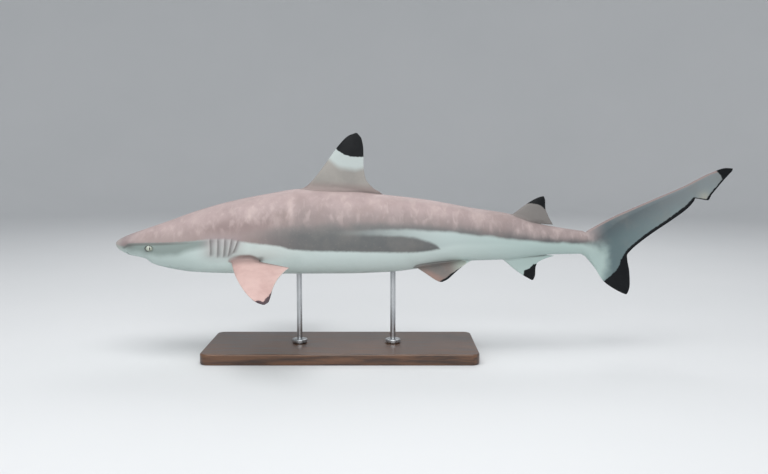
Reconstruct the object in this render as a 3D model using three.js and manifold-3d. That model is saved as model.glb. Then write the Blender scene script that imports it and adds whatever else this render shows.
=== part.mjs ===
// A life-size blacktip reef shark, swimming, held over a plain display stand by two steel rods.
//
// Units are millimetres and +Z is up. The shark swims towards -X, so its left side faces -Y. The
// origin is the middle of the underside of the stand's base.
//
// The shark is drawn straight and symmetrical first: x runs from the snout tip towards the tail, y
// to its right and z up from the level of the snout tip. swim() then bends the finished pieces into
// the pose, and the group at the end sets them over the stand.

import * as THREE from "three";
import { LoftGeometry } from "three/addons/geometries/LoftGeometry.js";
import { mergeVertices } from "three/addons/utils/BufferGeometryUtils.js";
import Module from "manifold-3d";

const wasm = await Module();
wasm.setup();

// ---------------------------------------------------------------- driving dimensions

// Body outlines: [distance behind the snout tip, height or half width].
const BACK_LINE = [
  [0, 0], [9, 10], [36, 22], [71, 34], [123, 52], [176, 71], [256, 93.5], [336, 109.5],
  [417, 121], [500, 117.5], [604, 107], [685, 97.5], [791, 78.5], [872, 65.5], [936, 44],
  [978, 35.5], [1049, 24.5],
];
const BELLY_LINE = [
  [0, 0], [9, -13.5], [36, -24.5], [71, -32.5], [90, -44], [123, -54.5], [176, -62], [256, -65.5],
  [400, -67], [500, -67], [604, -64], [685, -54.5], [791, -39.5], [860, -37.5], [978, -26.5],
  [1035, -26], [1049, -32],
];
const HALF_WIDTH = [
  [0, 0], [10, 22], [39, 44], [98, 66], [150, 77], [245, 85], [300, 86], [400, 84], [500, 80],
  [604, 72], [700, 61], [800, 48], [900, 35], [978, 26], [1049, 18],
];
// Height of the widest level, as a share of the section's height.
const WAIST = [[0, 0.5], [40, 0.42], [100, 0.42], [250, 0.45], [400, 0.46], [800, 0.5], [1049, 0.5]];
// Superellipse exponents above and below that level: 2 is an ellipse, more is squarer.
const UPPER_SHAPE = [[0, 2], [100, 2.1], [300, 2], [420, 1.85], [800, 1.95], [1049, 2]];
const LOWER_SHAPE = [[0, 2.2], [60, 2.7], [200, 2.6], [400, 2.5], [700, 2.2], [1049, 2]];

// Where the body is parted, as distances behind the snout tip.
const HEAD_END = 208;
const GILLS_END = 264;
const SHOULDER_END = 500;
const VENT = 790;
const TAIL_ROOT = 1049;

// Tail fin: [share of the way out, x, z] along its upper and its lower and rear margins. Each cross
// section runs straight from one margin to the other.
const TAIL_UPPER_MARGIN = [
  [0, 1049, 24.5], [0.2, 1080, 41.5], [0.4, 1115, 59], [0.6, 1195, 92.5], [0.8, 1275, 125],
  [0.9, 1335, 153.5], [0.97, 1376, 165.5], [1, 1391, 164.5],
];
const TAIL_LOWER_MARGIN = [
  [0, 1049, -32], [0.08, 1073, -61], [0.15, 1091, -87.5], [0.2, 1115, -105.5],
  [0.235, 1146, -120], [0.27, 1154, -98], [0.32, 1152, -68], [0.37, 1147, -44],
  [0.41, 1145.5, -31], [0.45, 1153, -20.5], [0.52, 1175.5, -1], [0.6, 1207, 21.5],
  [0.69, 1247, 47.5], [0.79, 1286, 75.5], [0.845, 1300.5, 92], [0.852, 1303, 97],
  [0.875, 1333, 92.5], [0.9, 1342, 105], [0.94, 1355.5, 121], [0.97, 1371, 139], [1, 1390, 158.5],
];
// The backbone's depth below the upper margin, and the half thickness of the fin over it.
const TAIL_SPINE_DEPTH = [[0, 28.2], [0.2, 22], [0.41, 14], [0.7, 9], [0.85, 8], [1, 2.2]];
const TAIL_HALF_WIDTH = [
  [0, 18], [0.1, 14.5], [0.235, 11], [0.41, 8], [0.6, 5.5], [0.8, 3.6], [0.95, 2.2], [1, 1.2],
];
const TAIL_UPPER_SHAPE = [[0, 2], [0.4, 1.8], [1, 2]];
const TAIL_LOWER_SHAPE = [[0, 2], [0.2, 0.75], [0.41, 0.75], [0.85, 1.2], [1, 2]];
const LOBE_CUT_LEVEL = -34; // the lower lobe is the fin below this height
const THINNEST = 0.5; // least half thickness of any fin

// Fins: [share of the way to the apex, x or distance aft, z or distance out] for the front and the
// rear margin. The rear margin starts at the free rear tip.
const FIRST_DORSAL = {
  front: [[0, 416, 119], [0.2, 440, 143.5], [0.4, 463, 173], [0.6, 483, 201], [0.78, 499, 221.5],
    [0.92, 517, 238], [1, 532.5, 244]],
  rear: [[0, 597, 109], [0.12, 572, 122], [0.3, 553.5, 146], [0.5, 550, 173],
    [0.75, 549.5, 207], [0.9, 545.5, 231], [1, 536, 243.6]],
  halfThickness: 8,
  dip: 16,
  dipSkew: 0.6,
};
const SECOND_DORSAL = {
  front: [[0, 880, 62.5], [0.5, 919, 91], [0.85, 941, 102], [1, 949.5, 104]],
  rear: [[0, 973, 40.5], [0.3, 962, 60], [0.6, 955, 80], [0.85, 954.5, 95], [1, 951.5, 103.5]],
  halfThickness: 4,
  dip: 9,
  dipSkew: 0.6,
};
const ANAL = {
  front: [[0, 858, -34], [0.4, 886, -58.5], [0.75, 908, -74], [1, 927, -84.5]],
  rear: [[0, 977, -30], [0.2, 956, -36.5], [0.4, 939, -46.5], [0.55, 935.5, -58],
    [0.8, 935, -73], [1, 931, -84.5]],
  halfThickness: 4,
  dip: -10,
  dipSkew: 0.6,
};
const PECTORAL = {
  front: [[0, -4, 0], [0.33, 18, 81], [0.66, 46, 156], [0.87, 70.5, 204], [0.96, 85, 222],
    [1, 95, 229]],
  rear: [[0, 126, 40], [0.15, 118, 62], [0.4, 108, 111], [0.62, 105, 156], [0.8, 105.5, 194],
    [0.92, 105, 215], [1, 99, 229.5]],
  halfThickness: 8,
  dip: 16,
  dipSkew: 0.5,
  root: [269, 72, -31], // where aft and out start: aft of the snout tip, out from the middle, up
  droop: 13.5, // degrees below level
  rise: 0, // how much higher the rear is, per millimetre aft
};
const PELVIC = {
  front: [[0, -4, 0], [0.5, 22.5, 39], [0.85, 41, 67], [1, 49.5, 77]],
  rear: [[0, 124, 5], [0.12, 112, 15], [0.3, 98, 31], [0.6, 81, 53], [0.85, 67, 71],
    [1, 56, 78.5]],
  halfThickness: 4.5,
  dip: 20,
  dipSkew: 0.8,
  root: [662, 22, -46],
  droop: 24,
  rise: 0.09,
};

// Head
const EYE = { x: 87, z: -5, length: 22, height: 16, depth: 12, proud: 2 };
const MOUTH = { front: 73, corner: 142, halfWidth: 56, hinge: 166, level: -35 };
const NOSTRIL = { x: 36, y: 31, length: 15, width: 6 };
// Gill slits from the first to the fifth: [distance behind the snout tip, radians it leans aft]
const GILL_SLITS = [[222, 0.02], [238, 0.05], [252.5, 0.1], [265, 0.2], [277, 0.38]];
const GILL = { height: 42, lowest: -23, width: 1.6, depth: 7 };

// Pose: the head turns a little to the left and the tail sweeps to the right, in radians.
const HEAD_TURN = 0.05;
const HEAD_TURN_LENGTH = 450;
const TAIL_TURN = 0.075;
const TAIL_TURN_START = 550;
const TAIL_TURN_LENGTH = 500;

// Stand
const BASE = { length: 600, width: 230, height: 24, corner: 18, bevel: 3 };
const ROD = { radius: 6, places: [405, 615], intoBody: 32, intoBase: 12 };
const COLLAR = { radius: 17, height: 9, edge: 2 };
const SNOUT_LEVEL = 250; // height of the snout tip over the floor
const BALANCE_POINT = 500; // the part of the shark that is over the middle of the base
const GAP = 0.3; // between pieces that touch

// Facets
const AROUND = 26; // points round a body section
const CHORD_POINTS = 6; // points along each side of a fin section

const DEGREE = Math.PI / 180;

// ---------------------------------------------------------------- curves and sections

// A smooth curve through stations [t, value, value, ...] that doesn't overshoot any of them.
function through(stations) {
  const width = stations[0].length;
  const secant = (i, k) =>
    (stations[i + 1][k] - stations[i][k]) / (stations[i + 1][0] - stations[i][0]);
  const slopes = stations.map((_, i) =>
    stations[0].map((_, k) => {
      const before = secant(Math.max(i - 1, 0), k);
      const after = secant(Math.min(i, stations.length - 2), k);
      return before * after > 0 ? (2 * before * after) / (before + after) : 0;
    }),
  );
  for (const end of [0, stations.length - 1])
    for (let k = 1; k < width; k++) slopes[end][k] = secant(Math.min(end, stations.length - 2), k);
  return (t) => {
    let i = 0;
    while (i < stations.length - 2 && t > stations[i + 1][0]) i++;
    const span = stations[i + 1][0] - stations[i][0];
    const s = Math.min(Math.max((t - stations[i][0]) / span, 0), 1);
    const [a, b] = [stations[i], stations[i + 1]];
    const values = [];
    for (let k = 1; k < width; k++)
      values.push(
        a[k] * (1 + 2 * s) * (1 - s) ** 2 +
          b[k] * s * s * (3 - 2 * s) +
          span * (slopes[i][k] * s * (1 - s) ** 2 - slopes[i + 1][k] * s * s * (1 - s)),
      );
    return width === 2 ? values[0] : values;
  };
}

// The same against the square root of x, which makes a curve that leaves zero come out blunt.
function alongBody(stations) {
  const curve = through(stations.map(([x, value]) => [Math.sqrt(x), value]));
  return (x) => curve(Math.sqrt(x));
}

const back = alongBody(BACK_LINE);
const belly = alongBody(BELLY_LINE);
const halfWidth = alongBody(HALF_WIDTH);
const waist = alongBody(WAIST);
const upperShape = alongBody(UPPER_SHAPE);
const lowerShape = alongBody(LOWER_SHAPE);

// A closed section between a top and a bottom point [x, z], as a superellipse whose upper and lower
// parts have their own exponents. It runs round from the left side over the bottom.
function section({ top, bottom, half, level, upper, lower }) {
  const points = [];
  for (let k = 0; k < AROUND; k++) {
    const angle = (2 * Math.PI * (k + 0.5)) / AROUND;
    const [c, s] = [Math.cos(angle), Math.sin(angle)];
    const power = 2 / (s > 0 ? upper : lower);
    const side = half * Math.abs(c) ** power;
    const h = level + (s > 0 ? 1 - level : -level) * Math.abs(s) ** power;
    points.push(
      new THREE.Vector3(
        bottom[0] + (top[0] - bottom[0]) * h,
        Math.sign(c) * Math.max(side, Math.min(THINNEST, half)),
        bottom[1] + (top[1] - bottom[1]) * h,
      ),
    );
  }
  return points;
}

// The body's section at x, grown outwards by some millimetres.
function bodySection(x, grow = 0) {
  return section({
    top: [x, back(x) + grow],
    bottom: [x, belly(x) - grow],
    half: halfWidth(x) + grow,
    level: waist(x),
    upper: upperShape(x),
    lower: lowerShape(x),
  });
}

const tailTop = through(TAIL_UPPER_MARGIN);
const tailBottom = through(TAIL_LOWER_MARGIN);
const tailSpineDepth = through(TAIL_SPINE_DEPTH);
const tailHalf = through(TAIL_HALF_WIDTH);
const tailUpperShape = through(TAIL_UPPER_SHAPE);
const tailLowerShape = through(TAIL_LOWER_SHAPE);

// The tail fin's section a share u of the way from its root to its tip.
function tailSection(u) {
  const [top, bottom] = [tailTop(u), tailBottom(u)];
  const chord = Math.hypot(top[0] - bottom[0], top[1] - bottom[1]);
  return section({
    top,
    bottom,
    half: tailHalf(u),
    level: 1 - tailSpineDepth(u) / chord,
    upper: tailUpperShape(u),
    lower: tailLowerShape(u),
  });
}

// Body stations from one distance to another, closer together near the snout.
function stations(from, to, count) {
  const [a, b] = [Math.sqrt(from), Math.sqrt(to)];
  return Array.from({ length: count + 1 }, (_, i) => (a + ((b - a) * i) / count) ** 2);
}

// ---------------------------------------------------------------- solids

// A closed three.js geometry as a manifold-3d solid.
function solid(geometry) {
  const bare = new THREE.BufferGeometry()
    .setAttribute("position", geometry.getAttribute("position"))
    .setIndex(geometry.getIndex());
  const merged = mergeVertices(bare, 1e-3);
  return new wasm.Manifold(
    new wasm.Mesh({
      numProp: 3,
      vertProperties: merged.attributes.position.array,
      triVerts: new Uint32Array(merged.index.array),
    }),
  );
}

// The largest body of a manifold-3d solid as a three.js geometry.
function geometryOf(manifold) {
  const largest = manifold.decompose().reduce((a, b) => (a.volume() > b.volume() ? a : b));
  const mesh = largest.getMesh();
  const positions = new Float32Array(mesh.numVert * 3);
  for (let i = 0; i < mesh.numVert; i++) {
    const at = i * mesh.numProp;
    positions.set(mesh.vertProperties.subarray(at, at + 3), i * 3);
  }
  return new THREE.BufferGeometry()
    .setAttribute("position", new THREE.BufferAttribute(positions, 3))
    .setIndex(new THREE.BufferAttribute(mesh.triVerts, 1));
}

function loft(sections) {
  return solid(new LoftGeometry(sections, { capStart: true, capEnd: true }));
}

// A length of the body between two distances behind the snout tip, less the gap at each end.
function bodyLength(from, to, count) {
  const start = from === 0 ? 0.15 : from + GAP / 2;
  return loft(stations(start, to - GAP / 2, count).map((x) => bodySection(x)));
}

// The aerofoil's half thickness at a share s of the chord, as a share of its greatest.
function aerofoil(s) {
  return (
    10 * (0.2969 * Math.sqrt(s) - 0.126 * s - 0.3516 * s ** 2 + 0.2843 * s ** 3 - 0.1036 * s ** 4)
  );
}

// A fin's sections from root to apex, each point given as [aft, out, across]. The root dips into
// the body between the front of the base and the free rear tip.
function finSections({ front, rear, halfThickness, dip, dipSkew }, count) {
  const [leading, trailing] = [through(front), through(rear)];
  return Array.from({ length: count + 1 }, (_, i) => {
    const v = 1 - (1 - i / count) ** 1.4;
    const [a, b] = [leading(v), trailing(v)];
    const half = (halfThickness - THINNEST) * (1 - v) ** 0.85 + THINNEST;
    const at = (s, side) => [
      a[0] + (b[0] - a[0]) * s,
      a[1] + (b[1] - a[1]) * s - dip * Math.sin(Math.PI * s ** dipSkew) * (1 - v) ** 3,
      side * Math.max(half * aerofoil(s), s > 0 ? THINNEST : 0),
    ];
    const shares = Array.from({ length: CHORD_POINTS }, (_, k) => ((k + 1) / CHORD_POINTS) ** 1.5);
    return [
      at(0, 1),
      ...shares.map((s) => at(s, 1)),
      ...shares.toReversed().map((s) => at(s, -1)),
    ];
  });
}

// A fin on the middle line: aft is x, out is z and across is y.
function middleFin(fin, count) {
  const turn = fin.dip > 0 ? 1 : -1; // a fin below the body winds the other way
  return loft(
    finSections(fin, count).map((ring) =>
      ring.map(([aft, out, across]) => new THREE.Vector3(aft, -turn * across, out)),
    ),
  );
}

// One of a pair of fins: side is -1 for the left and 1 for the right.
function pairedFin(fin, side, count) {
  const [x, y, z] = fin.root;
  const [c, s] = [Math.cos(fin.droop * DEGREE), Math.sin(fin.droop * DEGREE)];
  const place = ([aft, out, across]) => {
    const height = z - out * s + across * c + aft * fin.rise;
    return new THREE.Vector3(x + aft, side * (y + out * c + across * s), height);
  };
  return loft(
    finSections(fin, count).map((ring) => {
      const points = ring.map(place);
      return side > 0 ? points : points.toReversed();
    }),
  );
}

// An upright round pin or hole.
function upright(radius, from, to, x, y = 0) {
  const geometry = new THREE.CylinderGeometry(radius, radius, to - from, 24);
  geometry.rotateX(Math.PI / 2).translate(x, y, (from + to) / 2);
  return solid(geometry);
}

// An eyeball, or with grow its socket, looking out of the side of the head.
function eyeball(side, grow = 0) {
  const slope = (halfWidth(EYE.x + 5) - halfWidth(EYE.x - 5)) / 10;
  const geometry = new THREE.SphereGeometry(1, 12, 9);
  geometry
    .scale(EYE.length / 2 + grow, EYE.depth / 2 + grow, EYE.height / 2 + grow)
    .rotateZ(-side * Math.atan(slope))
    .translate(EYE.x, side * (halfWidth(EYE.x) + EYE.proud - EYE.depth / 2), EYE.z);
  return solid(geometry);
}

// The block that parts the lower jaw from the head along the closed mouth.
function jawBlock(grow = 0) {
  const half = MOUTH.halfWidth + grow;
  const outline = new THREE.Shape();
  outline.moveTo(MOUTH.hinge + grow, -half);
  outline.lineTo(MOUTH.corner, -half);
  const bow = MOUTH.front - grow;
  outline.bezierCurveTo(MOUTH.corner - 40, -half, bow, -half * 0.62, bow, 0);
  outline.bezierCurveTo(bow, half * 0.62, MOUTH.corner - 40, half, MOUTH.corner, half);
  outline.lineTo(MOUTH.hinge + grow, half);
  const under = -90;
  const geometry = new THREE.ExtrudeGeometry(outline, {
    depth: MOUTH.level + grow - under,
    bevelEnabled: false,
    curveSegments: 10,
  });
  return solid(geometry.translate(0, 0, under));
}

function nostril(side) {
  const geometry = new THREE.SphereGeometry(1, 10, 8);
  geometry
    .scale(NOSTRIL.width / 2, NOSTRIL.length / 2, 5)
    .rotateZ(side * 0.6)
    .translate(NOSTRIL.x, side * NOSTRIL.y, belly(NOSTRIL.x) + 2);
  return solid(geometry);
}

// A gill slit: a thin slanting blade that cuts into the side.
function gillSlit([x, lean], side) {
  const middle = GILL.lowest + GILL.height / 2;
  const geometry = new THREE.BoxGeometry(GILL.width, GILL.depth * 2, GILL.height);
  geometry.rotateY(lean).translate(x, side * (halfWidth(x) - 2), middle);
  return solid(geometry);
}

// ---------------------------------------------------------------- pose

// Where a point [x, y] of the straight shark goes. The turn grows from the shoulders to the snout
// and from the middle to the tail, and lengths along the body are kept.
function posed(x, y) {
  const h = Math.max(1 - x / HEAD_TURN_LENGTH, 0);
  const t = Math.max((x - TAIL_TURN_START) / TAIL_TURN_LENGTH, 0);
  const turn = HEAD_TURN * h ** 2 + TAIL_TURN * t ** 1.5;
  const middleX =
    x + (HEAD_TURN ** 2 * HEAD_TURN_LENGTH * h ** 5) / 10 -
    (TAIL_TURN ** 2 * TAIL_TURN_LENGTH * t ** 4) / 8;
  const middleY =
    (-HEAD_TURN * HEAD_TURN_LENGTH * h ** 3) / 3 + (TAIL_TURN * TAIL_TURN_LENGTH * t ** 2.5) / 2.5;
  return [middleX - y * Math.sin(turn), middleY + y * Math.cos(turn)];
}

// Bends a geometry drawn along the straight body into the swimming pose.
function swim(geometry) {
  const position = geometry.getAttribute("position");
  for (let i = 0; i < position.count; i++)
    position.setXY(i, ...posed(position.getX(i), position.getY(i)));
  return geometry;
}

// ---------------------------------------------------------------- pieces

const skin = new THREE.MeshStandardMaterial({ color: 0x8d7a74, roughness: 0.5, metalness: 0 });
const paleSkin = new THREE.MeshStandardMaterial({ color: 0xc3cbc3, roughness: 0.5, metalness: 0 });
const eyeGloss = new THREE.MeshStandardMaterial({ color: 0x9aa08a, roughness: 0.1, metalness: 0 });
const wood = new THREE.MeshStandardMaterial({ color: 0x4a3020, roughness: 0.4, metalness: 0 });
const steel = new THREE.MeshStandardMaterial({ color: 0xb8bcc0, roughness: 0.3, metalness: 1 });

const shark = new THREE.Group();
shark.position.set(-BALANCE_POINT, 0, SNOUT_LEVEL);

function addToShark(name, manifold, material) {
  const mesh = new THREE.Mesh(swim(geometryOf(manifold)), material);
  mesh.name = name;
  shark.add(mesh);
}

// The body as it shapes what grows from it: the whole length, a gap larger all round.
const bodyAndGap = loft(stations(0.15, TAIL_ROOT, 60).map((x) => bodySection(x, GAP)));

// What is cut out of each length of the body.
const sockets = ROD.places.map((x) =>
  upright(ROD.radius + GAP, belly(x) - 20, belly(x) + ROD.intoBody + GAP, x),
);
const slits = GILL_SLITS.flatMap((slit) => [gillSlit(slit, -1), gillSlit(slit, 1)]);
const less = (body, cuts) => cuts.reduce((left, cut) => left.subtract(cut), body);

const wholeHead = bodyLength(0, HEAD_END, 13);
addToShark(
  "head",
  less(wholeHead, [jawBlock(GAP), eyeball(-1, GAP), eyeball(1, GAP), nostril(-1), nostril(1)]),
  skin,
);
addToShark("lower_jaw", wholeHead.intersect(jawBlock()), paleSkin);
addToShark("eye_left", eyeball(-1), eyeGloss);
addToShark("eye_right", eyeball(1), eyeGloss);
addToShark("gill_region", less(bodyLength(HEAD_END, GILLS_END, 4), slits), skin);
addToShark(
  "shoulder",
  less(bodyLength(GILLS_END, SHOULDER_END, 9), [...slits, ...sockets]),
  skin,
);
addToShark("belly_length", less(bodyLength(SHOULDER_END, VENT, 9), sockets), skin);
addToShark("tail_stalk", bodyLength(VENT, TAIL_ROOT, 11), skin);

// The tail fin, parted into its two lobes.
const TAIL_SHARES = [
  0.004, 0.04, 0.08, 0.12, 0.16, 0.2, 0.22, 0.235, 0.25, 0.27, 0.32, 0.37, 0.39, 0.41, 0.45,
  0.52, 0.6, 0.69, 0.79, 0.82, 0.845, 0.852, 0.875, 0.9, 0.94, 0.97, 1,
];
const tailFin = loft(TAIL_SHARES.map(tailSection));
const lobeBlock = (grow) =>
  solid(new THREE.BoxGeometry(200, 60, 200).translate(TAIL_ROOT + 80, 0, LOBE_CUT_LEVEL - 100 + grow));
addToShark("tail_fin_upper_lobe", tailFin.subtract(lobeBlock(GAP)), skin);
addToShark("tail_fin_lower_lobe", tailFin.intersect(lobeBlock(0)), paleSkin);

addToShark("dorsal_fin_first", middleFin(FIRST_DORSAL, 11).subtract(bodyAndGap), skin);
addToShark("dorsal_fin_second", middleFin(SECOND_DORSAL, 8).subtract(bodyAndGap), skin);
addToShark("anal_fin", middleFin(ANAL, 8).subtract(bodyAndGap), paleSkin);
for (const [side, name] of [[-1, "left"], [1, "right"]]) {
  addToShark(`pectoral_fin_${name}`, pairedFin(PECTORAL, side, 12).subtract(bodyAndGap), skin);
  addToShark(`pelvic_fin_${name}`, pairedFin(PELVIC, side, 9).subtract(bodyAndGap), skin);
}

// ---------------------------------------------------------------- stand

const stand = new THREE.Group();

function addToStand(name, manifold, material) {
  const mesh = new THREE.Mesh(geometryOf(manifold), material);
  mesh.name = name;
  stand.add(mesh);
}

// A flat board with rounded corners and a bevelled top edge.
function board() {
  const [x, y, r] = [BASE.length / 2, BASE.width / 2, BASE.corner];
  const outline = new THREE.Shape();
  outline.moveTo(-x + r, -y);
  for (const [cx, cy, from] of [
    [x - r, -y + r, -90],
    [x - r, y - r, 0],
    [-x + r, y - r, 90],
    [-x + r, -y + r, 180],
  ])
    outline.absarc(cx, cy, r, from * DEGREE, (from + 90) * DEGREE);
  const geometry = new THREE.ExtrudeGeometry(outline, {
    depth: BASE.height - 2 * BASE.bevel,
    bevelThickness: BASE.bevel,
    bevelSize: BASE.bevel,
    bevelOffset: -BASE.bevel,
    bevelSegments: 2,
    curveSegments: 3,
  });
  return solid(geometry.translate(0, 0, BASE.bevel));
}

const feet = ROD.places.map((x) => posed(x, 0)).map(([x, y]) => [x - BALANCE_POINT, y]);
const baseHoles = feet.map((foot) =>
  upright(ROD.radius + GAP, BASE.height - ROD.intoBase - GAP, BASE.height + 20, ...foot),
);
addToStand("stand_base", less(board(), baseHoles), wood);

// A flat ring that covers a rod's hole in the base.
function collar(x, y) {
  const [inner, outer] = [ROD.radius + GAP, COLLAR.radius];
  const [low, high] = [BASE.height + GAP, BASE.height + GAP + COLLAR.height];
  const outline = [
    [inner, low], [outer, low], [outer, high - COLLAR.edge], [outer - COLLAR.edge, high],
    [inner, high], [inner, low],
  ].map(([r, z]) => new THREE.Vector2(r, z));
  const geometry = new THREE.LatheGeometry(outline, 24);
  return solid(geometry.rotateX(Math.PI / 2).translate(x, y, 0));
}

ROD.places.forEach((place, i) => {
  const name = i === 0 ? "front" : "rear";
  const low = BASE.height - ROD.intoBase;
  const high = SNOUT_LEVEL + belly(place) + ROD.intoBody;
  addToStand(`stand_rod_${name}`, upright(ROD.radius, low, high, ...feet[i]), steel);
  addToStand(`stand_collar_${name}`, collar(...feet[i]), steel);
});

const model = new THREE.Group();
model.add(shark, stand);

export default model;
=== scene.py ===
"""The looks of a blacktip reef shark on a display stand: one skin, two eyes and the stand.

The shark is drawn straight first, in millimetres, on the curves that the CAD has: x runs aft from
the snout tip, y to the shark's right and z up. It is then bent into its pose and set in the frame.
"""

import math

import bmesh
import bpy
import numpy as np
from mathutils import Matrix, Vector
from mathutils.bvhtree import BVHTree
from mathutils.kdtree import KDTree


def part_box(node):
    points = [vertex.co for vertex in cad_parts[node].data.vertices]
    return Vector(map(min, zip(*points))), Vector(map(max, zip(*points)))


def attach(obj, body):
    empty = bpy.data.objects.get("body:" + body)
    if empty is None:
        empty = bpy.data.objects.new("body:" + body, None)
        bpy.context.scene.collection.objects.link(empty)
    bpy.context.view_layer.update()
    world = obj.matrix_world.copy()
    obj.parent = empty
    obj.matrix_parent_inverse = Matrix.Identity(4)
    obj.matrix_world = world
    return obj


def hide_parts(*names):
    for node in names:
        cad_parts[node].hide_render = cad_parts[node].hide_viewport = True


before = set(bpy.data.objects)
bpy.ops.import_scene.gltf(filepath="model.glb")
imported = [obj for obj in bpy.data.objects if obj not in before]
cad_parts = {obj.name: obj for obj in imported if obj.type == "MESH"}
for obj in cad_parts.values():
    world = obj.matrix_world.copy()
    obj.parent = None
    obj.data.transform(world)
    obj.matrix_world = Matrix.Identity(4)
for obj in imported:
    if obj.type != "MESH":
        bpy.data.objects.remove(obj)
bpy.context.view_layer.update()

# ---- the CAD's curves, in millimetres

BACK_LINE = [
    [0, 0], [9, 10], [36, 22], [71, 34], [123, 52], [176, 71], [256, 93.5], [336, 109.5],
    [417, 121], [500, 117.5], [604, 107], [685, 97.5], [791, 78.5], [872, 65.5], [936, 44],
    [978, 35.5], [1049, 24.5],
]
BELLY_LINE = [
    [0, 0], [9, -13.5], [36, -24.5], [71, -32.5], [90, -44], [123, -54.5], [176, -62],
    [256, -65.5], [400, -67], [500, -67], [604, -64], [685, -54.5], [791, -39.5], [860, -37.5],
    [978, -26.5], [1035, -26], [1049, -32],
]
HALF_WIDTH = [
    [0, 0], [10, 22], [39, 44], [98, 66], [150, 77], [245, 85], [300, 86], [400, 84], [500, 80],
    [604, 72], [700, 61], [800, 48], [900, 35], [978, 26], [1049, 18],
]
WAIST = [[0, 0.5], [40, 0.42], [100, 0.42], [250, 0.45], [400, 0.46], [800, 0.5], [1049, 0.5]]
UPPER_SHAPE = [[0, 2], [100, 2.1], [300, 2], [420, 1.85], [800, 1.95], [1049, 2]]
LOWER_SHAPE = [[0, 2.2], [60, 2.7], [200, 2.6], [400, 2.5], [700, 2.2], [1049, 2]]
TAIL_ROOT = 1049
TAIL_ROOT_TOP = 24.5

TAIL_UPPER_MARGIN = [
    [0, 1049, 24.5], [0.2, 1080, 41.5], [0.4, 1115, 59], [0.6, 1195, 92.5], [0.8, 1275, 125],
    [0.9, 1335, 153.5], [0.97, 1376, 165.5], [1, 1391, 164.5],
]
TAIL_LOWER_MARGIN = [
    [0, 1049, -32], [0.08, 1073, -61], [0.15, 1091, -87.5], [0.2, 1115, -105.5],
    [0.235, 1146, -120], [0.27, 1154, -98], [0.32, 1152, -68], [0.37, 1147, -44],
    [0.41, 1145.5, -31], [0.45, 1153, -20.5], [0.52, 1175.5, -1], [0.6, 1207, 21.5],
    [0.69, 1247, 47.5], [0.79, 1286, 75.5], [0.845, 1300.5, 92], [0.852, 1303, 97],
    [0.875, 1333, 92.5], [0.9, 1342, 105], [0.94, 1355.5, 121], [0.97, 1371, 139], [1, 1390, 158.5],
]
TAIL_SPINE_DEPTH = [[0, 28.2], [0.2, 22], [0.41, 14], [0.7, 9], [0.85, 8], [1, 2.2]]
TAIL_HALF_WIDTH = [
    [0, 18], [0.1, 14.5], [0.235, 11], [0.41, 8], [0.6, 5.5], [0.8, 3.6], [0.95, 2.2], [1, 1.2],
]
TAIL_UPPER_SHAPE = [[0, 2], [0.4, 1.8], [1, 2]]
TAIL_LOWER_SHAPE = [[0, 2], [0.2, 0.75], [0.41, 0.75], [0.85, 1.2], [1, 2]]
THINNEST = 0.5

FIRST_DORSAL = {
    "front": [[0, 416, 119], [0.2, 440, 143.5], [0.4, 463, 173], [0.6, 483, 201],
              [0.78, 499, 221.5], [0.92, 517, 238], [1, 532.5, 244]],
    "rear": [[0, 597, 109], [0.12, 572, 122], [0.3, 553.5, 146], [0.5, 550, 173],
             [0.75, 549.5, 207], [0.9, 545.5, 231], [1, 536, 243.6]],
    "half": 8, "dip": 16, "skew": 0.6, "fillet": 11,
}
SECOND_DORSAL = {
    "front": [[0, 880, 62.5], [0.5, 919, 91], [0.85, 941, 102], [1, 949.5, 104]],
    "rear": [[0, 973, 40.5], [0.3, 962, 60], [0.6, 955, 80], [0.85, 954.5, 95], [1, 951.5, 103.5]],
    "half": 4, "dip": 9, "skew": 0.6, "fillet": 6,
}
ANAL = {
    "front": [[0, 858, -34], [0.4, 886, -58.5], [0.75, 908, -74], [1, 927, -84.5]],
    "rear": [[0, 977, -30], [0.2, 956, -36.5], [0.4, 939, -46.5], [0.55, 935.5, -58],
             [0.8, 935, -73], [1, 931, -84.5]],
    "half": 4, "dip": -10, "skew": 0.6, "fillet": 7,
}
PECTORAL = {
    "front": [[0, -4, 0], [0.33, 18, 81], [0.66, 46, 156], [0.87, 70.5, 204], [0.96, 85, 222],
              [1, 95, 229]],
    "rear": [[0, 126, 40], [0.15, 118, 62], [0.4, 108, 111], [0.62, 105, 156], [0.8, 105.5, 194],
             [0.92, 105, 215], [1, 99, 229.5]],
    "half": 8, "dip": 16, "skew": 0.5, "fillet": 7,
    "root": [269, 72, -31], "droop": math.radians(13.5), "rise": 0,
}
PELVIC = {
    "front": [[0, -4, 0], [0.5, 22.5, 39], [0.85, 41, 67], [1, 49.5, 77]],
    "rear": [[0, 124, 5], [0.12, 112, 15], [0.3, 98, 31], [0.6, 81, 53], [0.85, 67, 71],
             [1, 56, 78.5]],
    "half": 4.5, "dip": 20, "skew": 0.8, "fillet": 6,
    "root": [662, 22, -46], "droop": math.radians(24), "rise": 0.09,
}

EYE = {"x": 87, "z": -5, "length": 22, "height": 16, "depth": 12, "proud": 2}
MOUTH = {"front": 73, "corner": 142, "half": 56}
NOSTRIL = {"x": 36, "y": 31, "length": 14, "width": 6, "slant": 0.6}

HEAD_TURN = 0.05
HEAD_TURN_LENGTH = 450
TAIL_TURN = 0.075
TAIL_TURN_START = 550
TAIL_TURN_LENGTH = 500
SNOUT_LEVEL = 250
BALANCE_POINT = 500


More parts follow.
